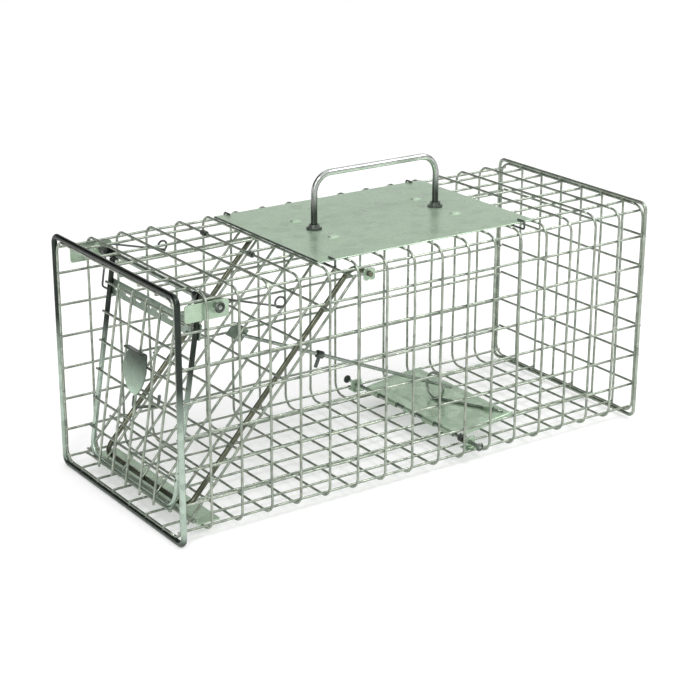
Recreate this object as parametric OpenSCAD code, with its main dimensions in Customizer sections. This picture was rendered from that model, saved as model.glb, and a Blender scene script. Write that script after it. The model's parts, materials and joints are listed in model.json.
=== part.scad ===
// Live catch trap: a welded-wire cage with a sloping mesh door, a spring-loaded
// lock flap in front of it, and a treadle that carries the trigger rod's tail.
// +X runs from the entrance to the closed end, +Y to the left, +Z up.
// The origin is on the ground under the middle of the cage.

/* [Cage] */
// Pitch of the welded mesh
cell = 25.4; // [24:0.1:27]
// Mesh cells along the cage
cells_long = 17; // [16:1:20]
// Diameter of the mesh wire
wire_d = 2; // [1.6:0.1:2.2]
// Diameter of the heavy rod round the entrance
front_rod_d = 4.5; // [4:0.1:5]
// Diameter of the rod round the closed end
rear_rod_d = 3; // [2.8:0.1:4]
// Radius of the bend where the mesh turns from one side to the next
corner_r = 10; // [8:0.5:12]

/* [Guard plate and handle] */
// Cells between the entrance and the plate
plate_start = 5; // [4.5:0.5:6]
// Length of the plate in cells
plate_cells = 8; // [7:0.5:9]
// Thickness of the plate
plate_t = 0.8; // [0.6:0.1:1.2]
// Distance between the handle's legs
handle_span = 116; // [114:1:122]
// Height of the handle above the roof
handle_h = 47; // [38:1:60]
// Diameter of the handle rod
handle_d = 5; // [4:0.1:6]

/* [Door] */
// Width of the door in cells
door_cells = 6.2; // [6:0.1:6.2]
// Diameter of the door's heavy rod
door_rod_d = 4; // [3.5:0.1:4.2]
// Cross wires of the door
door_cross_wires = 8; // [6:1:9]

/* [Lock flap] */
// Width of the flap in cells
flap_cells = 5; // [4.8:0.1:5]
// Diameter of the flap's heavy rod
flap_rod_d = 4; // [3.5:0.1:4.2]
// Width of the finger grip
grip_w = 33; // [28:1:36]
// Height of the finger grip
grip_h = 34; // [30:1:36]

/* [Treadle and trigger] */
// Width of the treadle in cells
treadle_cells = 5; // [4.6:0.1:5]
// Length of the treadle in cells
treadle_len_cells = 2.2; // [2:0.1:2.3]
// Rise of the treadle towards the closed end, in degrees
treadle_tilt = 5.5; // [4.5:0.5:6]
// Diameter of the trigger rod
trigger_d = 3; // [2.6:0.1:3]
// Radius of the wire ring that guides the trigger rod
ring_r = 11; // [11:0.5:12]

/* [Hidden] */

cells_wide = 7;
cells_high = 7;
fine = 32;
gap = 0.1;                       // air left between pieces that are clipped or welded together
weld = 0.4;                      // depth by which crossing wires sink into each other
wire_r = wire_d / 2;
ring_corner_r = 6;               // bends of the rods round the cage's two ends
layer = wire_d - weld;           // distance between the two layers of a welded mesh
front_off = front_rod_d / 2 + wire_r + gap;
rear_off = rear_rod_d / 2 + wire_r + gap;
base_z = front_off + front_rod_d / 2;
cage_l = cells_long * cell;
cage_w = cells_wide * cell;
cage_h = cells_high * cell;
rear_panel_x = wire_d + gap;     // rear grid, measured from the last hoop
x_middle = (cage_l - front_rod_d / 2 + rear_panel_x + layer + wire_r) / 2;
sheet_t = 1.2;

// Places inside the cage, counted in cells from the entrance, the right wall and the floor.
function px(c) = c * cell - x_middle;
function py(w) = (w - cells_wide / 2) * cell;
function pz(h) = base_z + h * cell;
function at(p, y = 0) = [px(p[0]), y, pz(p[1])];

door_pivot = [6.45, 6.62];
door_foot = [0.8, 0.42];
flap_pivot = [1.35, 6.62];
flap_foot = [0.33, 0.42];
trigger_pivot = [4.25, 4.206];
trigger_tail = [12.2, 0.82];
treadle_pivot = [10.55, 0.33];

door_drop = atan2(door_pivot[1] - door_foot[1], door_pivot[0] - door_foot[0]);
door_len = norm(door_pivot - door_foot) * cell;
flap_drop = atan2(flap_pivot[1] - flap_foot[1], flap_pivot[0] - flap_foot[0]);
flap_len = norm(flap_pivot - flap_foot) * cell;
trigger_drop = atan2(trigger_pivot[1] - trigger_tail[1], trigger_tail[0] - trigger_pivot[0]);
trigger_len = norm(trigger_tail - trigger_pivot) * cell;

door_arm_y = 2.5 * cell;         // the heavy rod's two arms
flap_arm_y = flap_cells / 2 * cell;
wall_inner_y = cage_w / 2 - layer - wire_r;
bracket_y = wall_inner_y - gap - sheet_t;

// ---------- rods and wires ----------

function unit(v) = v / norm(v);
function turn(u, v) = acos(max(-1, min(1, u * v)));

// Straight round bar between two points.
module bar(a, b, d) {
    v = b - a;
    translate(a)
        rotate([0, acos(v[2] / norm(v)), atan2(v[1], v[0])])
            cylinder(d = d, h = norm(v), $fn = fine);
}

// Arc of radius r that joins the directions u and v at the corner p.
module bend(p, u, v, d, r) {
    a = turn(u, v);
    n = unit(v - u * cos(a));
    centre = p - u * r * tan(a / 2) + n * r;
    axis = cross(-n, u);
    multmatrix([
        [-n[0], u[0], axis[0], centre[0]],
        [-n[1], u[1], axis[1], centre[1]],
        [-n[2], u[2], axis[2], centre[2]],
        [0, 0, 0, 1]
    ])
        rotate_extrude(angle = a, $fn = fine)
            translate([r, 0])
                circle(d = d, $fn = fine);
}

// Rod bent through the given points. r is one radius, or a list with one for each point.
module bent_rod(points, d, r, closed = false) {
    n = len(points);
    last = closed ? n - 1 : n - 2;
    function r_at(i) = is_list(r) ? r[i % n] : r;
    for (i = [0 : last]) {
        a = points[i];
        b = points[(i + 1) % n];
        u = unit(b - a);
        v = unit(points[(i + 2) % n] - b);
        start = closed || i > 0 ? r_at(i) * tan(turn(unit(a - points[(i + n - 1) % n]), u) / 2) : 0;
        stop = closed || i < n - 2 ? r_at(i + 1) * tan(turn(u, v) / 2) : 0;
        bar(a + u * start, b - u * stop, d);
        if (closed || i < n - 2)
            bend(b, u, v, d, r_at(i + 1));
    }
}

// Upright rectangle across the cage, pushed out from the mesh by off.
function hoop(x, off) = [
    [x, -cage_w / 2 - off, base_z - off],
    [x, cage_w / 2 + off, base_z - off],
    [x, cage_w / 2 + off, base_z + cage_h + off],
    [x, -cage_w / 2 - off, base_z + cage_h + off]
];

// Coil of wire round the Y axis, starting at the top.
module coil(r, d, turns, steps = 14, sides = 6) {
    rings = turns * steps;
    pitch = d * 1.12;
    function ring(i) = [for (s = [0 : sides - 1])
        let (a = 360 * i / steps, q = 360 * s / sides, k = r + d / 2 * cos(q))
        [k * sin(a), pitch * i / steps + d / 2 * sin(q), k * cos(a)]];
    points = [for (i = [0 : rings]) each ring(i)];
    walls = [for (i = [0 : rings - 1], s = [0 : sides - 1])
        let (t = (s + 1) % sides, a = i * sides, b = a + sides)
        [a + s, a + t, b + t, b + s]];
    start = [for (s = [0 : sides - 1]) sides - 1 - s];
    end = [for (s = [0 : sides - 1]) rings * sides + s];
    polyhedron(points, concat([start], walls, [end]), convexity = 8);
}

// Frame of reference at a pivot, with +X running down the part towards its foot.
module down_from(pivot, drop, y = 0) {
    translate(at(pivot, y))
        rotate([0, 180 - drop, 0])
            mirror([0, 0, 1])
                children();
}

// ---------- cage ----------

module front_frame() {
    color("silver")
        bent_rod(hoop(px(0), front_off), front_rod_d, ring_corner_r, closed = true);
}

module rear_frame() {
    color("silver")
        bent_rod(hoop(px(cells_long), rear_off), rear_rod_d, ring_corner_r, closed = true);
}

// Flat run of mesh: the hoops' straight stretches outside and the long wires inside.
module flat_mesh(z, inward) {
    for (c = [0 : cells_long])
        bar([px(c), -cage_w / 2 + corner_r, z], [px(c), cage_w / 2 - corner_r, z], wire_d);
    for (w = [1 : cells_wide - 1])
        bar([px(0) - wire_r, py(w), z + inward * layer],
            [px(cells_long) + wire_r, py(w), z + inward * layer], wire_d);
}

module roof_mesh() {
    color("darkseagreen")
        flat_mesh(base_z + cage_h, -1);
}

module floor_mesh() {
    color("darkseagreen")
        flat_mesh(base_z, 1);
}

// Wall mesh with the bends that join it to the roof and the floor.
module wall_mesh(side) {
    y = side * cage_w / 2;
    inner_r = corner_r - layer;
    edge = corner_r - inner_r * sin(45);
    for (c = [0 : cells_long]) {
        bar([px(c), y, base_z + corner_r], [px(c), y, base_z + cage_h - corner_r], wire_d);
        for (k = [-1, 1])
            bend([px(c), y, base_z + cage_h / 2 + k * cage_h / 2], [0, 0, k], [0, -side, 0],
                wire_d, corner_r);
    }
    for (h = [1 : cells_high - 1])
        bar([px(0) - wire_r, y - side * layer, pz(h)],
            [px(cells_long) + wire_r, y - side * layer, pz(h)], wire_d);
    for (z = [base_z + edge, base_z + cage_h - edge])
        bar([px(0) - wire_r, y - side * edge, z], [px(cells_long) + wire_r, y - side * edge, z], wire_d);
}

module left_wall_mesh() {
    color("darkseagreen")
        wall_mesh(1);
}

module right_wall_mesh() {
    color("darkseagreen")
        wall_mesh(-1);
}

// Closed end: a grid of its own, welded behind the last hoop.
module rear_mesh() {
    x = px(cells_long) + rear_panel_x;
    reach = cage_w / 2 + wire_r - gap;
    color("darkseagreen") {
        for (w = [1 : cells_wide - 1])
            bar([x, py(w), base_z - wire_r + gap], [x, py(w), base_z + cage_h + wire_r - gap], wire_d);
        for (h = [1 : cells_high - 1])
            bar([x + layer, -reach, pz(h)], [x + layer, reach, pz(h)], wire_d);
    }
}

// Folded strip across the floor behind the entrance, under the door's foot.
module entrance_sill() {
    w = cage_w - 2 * corner_r;
    z = base_z + layer + wire_r + gap;
    lip = 4;
    color("darkseagreen")
        translate([px(0.72), -w / 2, z]) {
            cube([0.78 * cell, w, sheet_t]);
            cube([sheet_t, w, lip]);
        }
}

// ---------- guard plate and handle ----------

plate_z = base_z + cage_h + wire_r + gap;
plate_w = 5.8 * cell;
handle_x = px(9.1);

// Sheet with a hole for each leg of the handle and a pressed ridge on either side of each hole.
module guard_plate() {
    l = plate_cells * cell;
    ridge_r = 4;
    ridge_h = 1.6;
    ridge_l = 9;
    color("darkseagreen")
        difference() {
            union() {
                translate([px(plate_start), -plate_w / 2, plate_z])
                    cube([l, plate_w, plate_t]);
                for (s = [-1, 1], k = [-1, 1])
                    translate([handle_x + s * handle_span / 2, k * 1.02 * cell,
                        plate_z + plate_t + ridge_h - ridge_r])
                        rotate([0, 90, 0])
                            cylinder(r = ridge_r, h = ridge_l, center = true, $fn = fine);
            }
            for (s = [-1, 1])
                translate([handle_x + s * handle_span / 2, 0, plate_z - 1])
                    cylinder(d = handle_d + 1, h = plate_t + 2, $fn = fine);
            translate([px(plate_start), -plate_w / 2, plate_z - 2 * ridge_r])
                cube([l, plate_w, 2 * ridge_r]);
        }
}

// Wire staples that hold the plate's corners down on the roof's outer long wires.
module guard_plate_clips() {
    outer = plate_w / 2 + 3;
    top = plate_z + plate_t + gap + 0.8;
    bottom = base_z + cage_h - layer - wire_r - gap - 0.8;
    color("dimgray")
        for (c = [plate_start + 0.5, plate_start + plate_cells - 0.5], s = [-1, 1])
            bent_rod([
                [px(c), s * (plate_w / 2 - 5), top],
                [px(c), s * outer, top],
                [px(c), s * outer, bottom],
                [px(c), s * (2.5 * cell - 3), bottom]
            ], 1.6, 1.6);
}

// Bail bent from one rod, with its feet turned sideways under the roof wires.
module carry_handle() {
    foot_z = base_z + cage_h - layer - wire_r - gap - handle_d / 2;
    top = base_z + cage_h + handle_h - handle_d / 2;
    foot = 1.25 * cell;
    foot_r = 5;
    top_r = 15;
    color("gray")
        bent_rod([
            [handle_x - handle_span / 2, foot, foot_z],
            [handle_x - handle_span / 2, 0, foot_z],
            [handle_x - handle_span / 2, 0, top],
            [handle_x + handle_span / 2, 0, top],
            [handle_x + handle_span / 2, 0, foot_z],
            [handle_x + handle_span / 2, -foot, foot_z]
        ], handle_d, [0, foot_r, top_r, top_r, foot_r, 0]);
}

// Push-on collars on the handle's legs, just above the plate.
module handle_collars() {
    color("dimgray")
        for (s = [-1, 1])
            translate([handle_x + s * handle_span / 2, 0, plate_z + plate_t + gap])
                difference() {
                    union() {
                        cylinder(d = handle_d + 7, h = 1.2, $fn = fine);
                        cylinder(d = handle_d + 3, h = 4, $fn = fine);
                    }
                    translate([0, 0, -1])
                        cylinder(d = handle_d + 2 * gap, h = 6, $fn = fine);
                }
}

// Two sleeves crimped on a roof hoop between the lock flap and the plate.
sleeve_hoop = 4;
sleeve_places = [2.6, 5.2];
sleeve_len = 6;
sleeve_wall = 1.4;

module hoop_sleeves() {
    color("dimgray")
        for (w = sleeve_places)
            translate([px(sleeve_hoop), py(w), pz(cells_high)])
                rotate([90, 0, 0])
                    difference() {
                        cylinder(d = wire_d + 2 * sleeve_wall, h = sleeve_len, center = true, $fn = fine);
                        cylinder(d = wire_d + 2 * gap, h = 2 * sleeve_len, center = true, $fn = fine);
                    }
}

// ---------- pivots on the walls ----------

// Plate on the inside of a wall, with a bossed bore for a pivot near its top edge.
// It reaches the given lengths in front of the pivot and behind it.
module pivot_bracket(pivot, side, pin_d, front = 5, back = 5, h = 9) {
    y = side * (bracket_y + sheet_t / 2);
    bore_d = pin_d + 0.2;
    above = 4;
    translate(at(pivot, y))
        rotate([90, 0, 0])
            difference() {
                union() {
                    translate([-front, above - h, -sheet_t / 2])
                        cube([front + back, h, sheet_t]);
                    cylinder(d = bore_d + 4, h = sheet_t + 2.4, center = true, $fn = fine);
                }
                cylinder(d = bore_d, h = 10, center = true, $fn = fine);
            }
}

module door_pivot_bracket_left() {
    color("darkseagreen")
        pivot_bracket(door_pivot, 1, door_rod_d);
}

module door_pivot_bracket_right() {
    color("darkseagreen")
        pivot_bracket(door_pivot, -1, door_rod_d);
}

module flap_bracket_left() {
    color("darkseagreen")
        pivot_bracket(flap_pivot, 1, flap_rod_d, front = 25, back = 10, h = 13);
}

module flap_bracket_right() {
    color("darkseagreen")
        pivot_bracket(flap_pivot, -1, flap_rod_d, front = 25, back = 10, h = 13);
}

module flap_hinge_rod() {
    reach = cage_w / 2 + 3.2;
    color("gray")
        bar(at(flap_pivot, -reach), at(flap_pivot, reach), flap_rod_d);
}

// Push-on caps outside the walls.
module end_caps(pivot, rod_d) {
    for (s = [-1, 1])
        translate(at(pivot, s * (cage_w / 2 + 2.4)))
            rotate([90, 0, 0])
                difference() {
                    cylinder(d = rod_d + 4, h = 1.6, center = true, $fn = fine);
                    cylinder(d = rod_d + 2 * gap, h = 3, center = true, $fn = fine);
                }
}

module flap_rod_caps() {
    color("dimgray")
        end_caps(flap_pivot, flap_rod_d);
}

// ---------- springs of the lock flap ----------

spring_d = 1.6;
spring_r = flap_rod_d / 2 + 1.9;
spring_turns = 5;
spring_y = 3.12 * cell;          // outer end of the coil
spring_anchor = [3.45, 6.3];

// Coil on the hinge rod, with a long arm back to a loop that clips on the wall.
module torsion_spring(side) {
    anchor_y = side * 3.28 * cell;
    loop_r = 4;
    arm_start = at(flap_pivot, side * spring_y) + [0, 0, spring_r];
    mirror([0, side > 0 ? 1 : 0, 0])
        translate(at(flap_pivot, -spring_y))
            mirror([1, 0, 0])
                coil(spring_r, spring_d, spring_turns);
    bar(arm_start + [-1, 0, 0], [px(spring_anchor[0]) - loop_r, anchor_y, pz(spring_anchor[1])], spring_d);
    translate([px(spring_anchor[0]), anchor_y, pz(spring_anchor[1])])
        rotate([90, 0, 0])
            rotate_extrude($fn = fine)
                translate([loop_r, 0])
                    circle(d = spring_d, $fn = fine);
}

module spring_left() {
    color("dimgray")
        torsion_spring(1);
}

module spring_right() {
    color("dimgray")
        torsion_spring(-1);
}

// ---------- treadle axle ----------

axle_d = 3;

module treadle_axle() {
    reach = cage_w / 2 + 3.2;
    color("gray")
        bar(at(treadle_pivot, -reach), at(treadle_pivot, reach), axle_d);
}

module treadle_axle_caps() {
    color("dimgray")
        end_caps(treadle_pivot, axle_d);
}

// Saddle that stands on the floor wires and carries the axle.
module treadle_saddle(side) {
    y = side * 3.05 * cell;
    z = base_z + layer + wire_r + gap;
    h = pz(treadle_pivot[1]) - z;
    color("darkseagreen")
        difference() {
            union() {
                translate([px(treadle_pivot[0]) - 5, y - 1, z])
                    cube([10, 2, h + 4]);
                translate([px(treadle_pivot[0]) - 5, y - 5, z])
                    cube([10, 10, sheet_t]);
            }
            translate([px(treadle_pivot[0]), y, pz(treadle_pivot[1])])
                rotate([90, 0, 0])
                    cylinder(d = axle_d + 0.2, h = 10, center = true, $fn = fine);
        }
}

module treadle_saddle_left() {
    treadle_saddle(1);
}

module treadle_saddle_right() {
    treadle_saddle(-1);
}

// ---------- door ----------

door_wire_off = door_rod_d / 2 + gap + wire_r;   // sloping wires lie on the heavy rod
door_w = door_cells * cell;
door_top = 8;

// Heavy rod: two arms and a foot, with the arms' tops turned out as pivot pins.
module door_frame() {
    pin = cage_w / 2 - door_arm_y - wire_r;
    color("gray")
        down_from(door_pivot, door_drop)
            bent_rod([
                [0, -door_arm_y - pin, 0],
                [0, -door_arm_y, 0],
                [door_len, -door_arm_y, 0],
                [door_len, door_arm_y, 0],
                [0, door_arm_y, 0],
                [0, door_arm_y + pin, 0]
            ], door_rod_d, 8);
}

module door_mesh() {
    w = door_w - wire_d;
    columns = 6;
    pitch = (door_len + 6 - door_top) / (door_cross_wires - 1);
    color("darkseagreen")
        down_from(door_pivot, door_drop) {
            for (i = [0 : columns])
                let (y = -w / 2 + i * w / columns)
                bar([door_top - 2, y, door_wire_off], [door_len + 10, y, door_wire_off], wire_d);
            for (i = [0 : door_cross_wires - 1])
                let (x = door_top + i * pitch)
                bar([x, -w / 2 - wire_r, door_wire_off + layer], [x, w / 2 + wire_r, door_wire_off + layer],
                    wire_d);
        }
}

// Stiffening rod along the door's lower edge, under the sloping wires.
module door_lower_rod() {
    color("gray")
        down_from(door_pivot, door_drop)
            bar([door_len + 6, -door_w / 2, door_wire_off - wire_r - gap - 1.5],
                [door_len + 6, door_w / 2, door_wire_off - wire_r - gap - 1.5], 3);
}

trigger_lug_y = 4.5;

// Folded lug under the door that the trigger rod hooks into.
module trigger_lug() {
    x = norm(door_pivot - trigger_pivot) * cell;
    top = door_wire_off - wire_r - gap;
    color("darkseagreen")
        down_from(door_pivot, door_drop)
            difference() {
                union() {
                    translate([x - 6, trigger_lug_y - 0.75, -5])
                        cube([12, 1.5, 5 + top]);
                    translate([x - 6, trigger_lug_y - 0.75, top - 1])
                        cube([12, 13, 1]);
                }
                translate([x, trigger_lug_y, 0])
                    rotate([90, 0, 0])
                        cylinder(d = trigger_d + 0.2, h = 12, center = true, $fn = fine);
            }
}

// ---------- lock flap ----------

knuckle_l = 10;
knuckle_r = flap_rod_d / 2 + 2;
flap_wire_x = 18;                // top ends of the flap's own wires

// Heavy rod with rounded corners, with a tube on each arm that turns on the hinge rod.
module flap_frame() {
    color("gray")
        down_from(flap_pivot, flap_drop)
            difference() {
                union() {
                    bent_rod([
                        [3, -flap_arm_y, 0],
                        [flap_len, -flap_arm_y, 0],
                        [flap_len, flap_arm_y, 0],
                        [3, flap_arm_y, 0]
                    ], flap_rod_d, 14);
                    for (s = [-1, 1])
                        translate([0, s * flap_arm_y, 0])
                            rotate([90, 0, 0])
                                cylinder(r = knuckle_r, h = knuckle_l, center = true, $fn = fine);
                }
                for (s = [-1, 1])
                    translate([0, s * flap_arm_y, 0])
                        rotate([90, 0, 0])
                            cylinder(d = flap_rod_d + 0.2, h = knuckle_l + 2, center = true, $fn = fine);
            }
}

// Upright and level wires inside the heavy rod, in front of it.
module flap_mesh() {
    off = flap_rod_d / 2 + gap + wire_r;
    columns = 6;
    rows = 6;
    color("darkseagreen")
        down_from(flap_pivot, flap_drop) {
            for (i = [1 : columns - 1])
                let (y = -flap_arm_y + i * 2 * flap_arm_y / columns)
                bar([flap_wire_x, y, off + layer], [flap_len + 2, y, off + layer], wire_d);
            for (i = [0 : rows])
                let (x = flap_wire_x + 4 + i * (flap_len - flap_wire_x - 5) / rows)
                bar([x, -flap_arm_y - 1, off], [x, flap_arm_y + 1, off], wire_d);
        }
}

// Slotted strip across the top of the flap, behind the heavy rod.
module flap_top_strip() {
    slots = 8;
    color("darkseagreen")
        down_from(flap_pivot, flap_drop)
            translate([cell - 6, 0, -flap_rod_d / 2 - gap - sheet_t])
                difference() {
                    translate([0, -flap_arm_y - 3, 0])
                        cube([12, 2 * flap_arm_y + 6, sheet_t]);
                    for (i = [0 : slots - 1])
                        translate([4, -flap_arm_y + (i + 0.5) * 2 * flap_arm_y / slots - 4.5, -1])
                            cube([4, 9, 3]);
                }
}

grip_x = 2.88 * cell;
grip_z = flap_rod_d / 2 + gap + wire_r + layer + wire_r + gap;

// Leaf-shaped finger grip on the front of the flap, with its top edge folded out.
module flap_grip() {
    top_w = 0.74 * grip_w;
    tip_w = 0.3 * grip_w;
    lip = 7;
    color("darkseagreen")
        down_from(flap_pivot, flap_drop)
            translate([grip_x - grip_h / 2, 0, grip_z]) {
                linear_extrude(sheet_t)
                    polygon([
                        [0, -top_w / 2],
                        [0.38 * grip_h, -grip_w / 2],
                        [0.66 * grip_h, -0.44 * grip_w],
                        [0.9 * grip_h, -0.27 * grip_w],
                        [grip_h, -tip_w / 2],
                        [grip_h, tip_w / 2],
                        [0.9 * grip_h, 0.27 * grip_w],
                        [0.66 * grip_h, 0.44 * grip_w],
                        [0.38 * grip_h, grip_w / 2],
                        [0, top_w / 2]
                    ]);
                translate([0, -top_w / 2, 0])
                    cube([sheet_t, top_w, lip]);
            }
}

// Wire hook behind the flap that lifts the door's lower edge when the flap is raised.
module flap_hook() {
    x = grip_x + grip_h / 2 + 11.5;
    d = 2.4;
    y = wire_r + gap + d / 2;
    front = grip_z - 0.2 - d / 2;
    back = -17;
    color("dimgray")
        down_from(flap_pivot, flap_drop)
            bent_rod([[x - 9, y, front], [x, y, front], [x, y, back], [x - 8, y, back]], d, 2.5);
}

// Short leg of each spring, which rides on the flap's arm.
module flap_spring_leg(side) {
    y = side * (flap_arm_y + 3);
    z = knuckle_r + gap + spring_d / 2;
    color("dimgray")
        down_from(flap_pivot, flap_drop)
            bent_rod([[-3, y, z], [26, y, z], [26, y - side * 7, z]], spring_d, 2);
}

module flap_spring_leg_left() {
    flap_spring_leg(1);
}

module flap_spring_leg_right() {
    flap_spring_leg(-1);
}

// ---------- trigger rod ----------

// Frame of reference at the trigger's pivot, with +X running down to its tail.
module along_trigger() {
    translate(at(trigger_pivot))
        rotate([0, trigger_drop, 0])
            children();
}

// Rod whose front end is turned sideways through the door's lug.
module trigger_rod() {
    color("gray")
        along_trigger()
            bent_rod([[0, trigger_lug_y + 5, 0], [0, 0, 0], [trigger_len, 0, 0]], trigger_d, 3);
}

// Crimped collar with a downward peg.
module trigger_stop() {
    x = 3 * cell;
    color("dimgray")
        along_trigger()
            difference() {
                union() {
                    translate([x - 3, 0, 0])
                        rotate([0, 90, 0])
                            cylinder(d = trigger_d + 3.2, h = 6, $fn = fine);
                    translate([x, 0, -11])
                        cylinder(d = 3, h = 9.4, $fn = fine);
                }
                translate([x - 5, 0, 0])
                    rotate([0, 90, 0])
                        cylinder(d = trigger_d + 2 * gap, h = 10, $fn = fine);
            }
}

// ---------- treadle ----------

treadle_w = treadle_cells * cell;
treadle_l = treadle_len_cells * cell;
treadle_t = 0.9;
treadle_bottom = axle_d / 2 + 0.25;

// Frame of reference at the treadle's axle, with +X running back along the plate.
module on_treadle() {
    translate(at(treadle_pivot))
        rotate([0, -treadle_tilt, 0])
            children();
}

module treadle_plate() {
    knuckles = 5;
    knuckle_w = 0.11 * treadle_w;
    lip = 4;
    color("darkseagreen")
        on_treadle()
            difference() {
                union() {
                    translate([0, -treadle_w / 2, treadle_bottom])
                        cube([treadle_l, treadle_w, treadle_t]);
                    translate([treadle_l - treadle_t, -treadle_w / 2, treadle_bottom - lip + treadle_t])
                        cube([treadle_t, treadle_w, lip]);
                    for (s = [-1, 1])
                        translate([6, s * (treadle_w - treadle_t) / 2 - treadle_t / 2,
                            treadle_bottom - lip + treadle_t])
                            cube([treadle_l - 6, treadle_t, lip]);
                    for (i = [0 : knuckles - 1])
                        translate([0, (i - (knuckles - 1) / 2) * treadle_w / knuckles, 0])
                            rotate([90, 0, 0])
                                cylinder(r = treadle_bottom + treadle_t - 0.05, h = knuckle_w, center = true,
                                    $fn = fine);
                }
                rotate([90, 0, 0])
                    cylinder(d = axle_d + 0.2, h = treadle_w + 2, center = true, $fn = fine);
            }
}

ring_x = 1.05 * cell;
ring_wire_d = 2.2;
ring_leg = [treadle_l - 6 - ring_x, -treadle_w / 2 + 5];

// Upright wire ring with a leg that runs over the plate to its rear right corner.
module treadle_ring() {
    floor_z = treadle_bottom + treadle_t + gap + ring_wire_d / 2;
    color("gray")
        on_treadle() {
            translate([ring_x, 0, floor_z + ring_r])
                rotate([0, treadle_tilt, 0])
                    rotate([0, 90, 0])
                        rotate_extrude($fn = fine)
                            translate([ring_r, 0])
                                circle(d = ring_wire_d, $fn = fine);
            bar([ring_x, 0, floor_z], [ring_x + ring_leg[0], ring_leg[1], floor_z], ring_wire_d);
        }
}

// Folded tab that holds the ring's leg down near the corner of the plate.
module treadle_ring_clip() {
    z = treadle_bottom + treadle_t + gap;
    w = ring_wire_d + 0.4;
    along = 0.8;
    color("darkseagreen")
        on_treadle()
            translate([ring_x + along * ring_leg[0], along * ring_leg[1], z])
                rotate([0, 0, atan2(ring_leg[1], ring_leg[0])])
                    difference() {
                        translate([-4, -w / 2 - 1, 0])
                            cube([8, w + 2, w + 0.8]);
                        translate([-5, -w / 2, -1])
                            cube([10, w, w + 1]);
                    }
}

// Light coil on the axle that keeps the plate's rear edge up.
module treadle_spring() {
    r = axle_d / 2 + 1.3;
    wire = 1;
    y = -treadle_w / 2 - 7.9;
    color("dimgray")
        translate(at(treadle_pivot, y))
            coil(r, wire, 5, steps = 12);
}

// ---------- the assembly ----------

front_frame();
rear_frame();
roof_mesh();
floor_mesh();
left_wall_mesh();
right_wall_mesh();
rear_mesh();
entrance_sill();
guard_plate();
guard_plate_clips();
carry_handle();
handle_collars();
hoop_sleeves();
door_pivot_bracket_left();
door_pivot_bracket_right();
flap_bracket_left();
flap_bracket_right();
flap_hinge_rod();
flap_rod_caps();
spring_left();
spring_right();
treadle_axle();
treadle_saddle_left();
treadle_saddle_right();
treadle_axle_caps();
door_frame();
door_mesh();
door_lower_rod();
trigger_lug();
flap_frame();
flap_mesh();
flap_top_strip();
flap_grip();
flap_hook();
flap_spring_leg_left();
flap_spring_leg_right();
trigger_rod();
trigger_stop();
treadle_plate();
treadle_ring();
treadle_ring_clip();
treadle_spring();
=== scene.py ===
import json
import math
import random

import bmesh
import bpy
from mathutils import Matrix, Vector, noise
from mathutils.geometry import tessellate_polygon


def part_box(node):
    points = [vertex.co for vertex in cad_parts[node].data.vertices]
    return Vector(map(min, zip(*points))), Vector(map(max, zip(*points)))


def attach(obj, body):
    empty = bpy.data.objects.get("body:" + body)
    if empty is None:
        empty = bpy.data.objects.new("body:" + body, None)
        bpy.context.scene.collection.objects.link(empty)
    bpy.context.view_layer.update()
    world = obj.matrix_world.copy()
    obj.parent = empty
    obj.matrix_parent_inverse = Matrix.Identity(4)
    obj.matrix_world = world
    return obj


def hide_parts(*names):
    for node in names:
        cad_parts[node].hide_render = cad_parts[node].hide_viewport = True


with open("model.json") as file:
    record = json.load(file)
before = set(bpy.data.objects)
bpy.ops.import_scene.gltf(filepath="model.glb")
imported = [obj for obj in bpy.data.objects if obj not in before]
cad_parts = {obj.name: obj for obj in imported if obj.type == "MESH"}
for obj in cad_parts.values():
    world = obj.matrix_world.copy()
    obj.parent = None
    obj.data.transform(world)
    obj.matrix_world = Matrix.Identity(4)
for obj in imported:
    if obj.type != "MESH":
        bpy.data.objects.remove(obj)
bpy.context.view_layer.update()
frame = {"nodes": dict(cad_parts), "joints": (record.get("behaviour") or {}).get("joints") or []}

# ---------- sizes, in metres, read from the frame or repeated from the design ----------

CELLS_LONG, CELLS_WIDE, CELLS_HIGH = 17, 7, 7
WIRE = 0.0010                     # radius of the mesh wire
LAYER = 0.0016                    # distance between the two layers of a welded mesh
AIR = 0.0001                      # air between pieces that are clipped together
CORNER = 0.010                    # bend of the hoops at the cage's long edges
FRONT_ROD, REAR_ROD = 0.00225, 0.0015
FRAME_CORNER = 0.006

wall_lo, wall_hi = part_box("left_wall_mesh")
CELL = (wall_hi.x - wall_lo.x - 2 * WIRE) / CELLS_LONG
X0 = wall_lo.x + WIRE
Z0 = wall_lo.z + WIRE
WIDTH, HEIGHT = CELLS_WIDE * CELL, CELLS_HIGH * CELL
ROOF = Z0 + HEIGHT
JOINTS = {j["name"]: j for j in frame["joints"]}
rng = random.Random(7)
noise.seed_set(7)                 # otherwise noise_vector follows the clock


def px(c):
    return X0 + c * CELL


def py(w):
    return (w - CELLS_WIDE / 2) * CELL


def pz(h):
    return Z0 + h * CELL


def pivot(joint):
    return Vector(JOINTS[joint]["pos_m"])


# ---------- materials ----------

def links(tree, *pairs):
    for a, b in pairs:
        tree.links.new(a, b)


def ramp(nodes, stops):
    r = nodes.new("ShaderNodeValToRGB")
    while len(r.color_ramp.elements) < len(stops):
        r.color_ramp.elements.new(0.5)
    for element, (at, colour) in zip(r.color_ramp.elements, stops):
        element.position = at
        element.color = (*colour, 1)
    return r


# raggedness of the painted shade's edge, and the height its ramp spans
RAGGED, TALLEST = 0.012, 0.25


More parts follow.
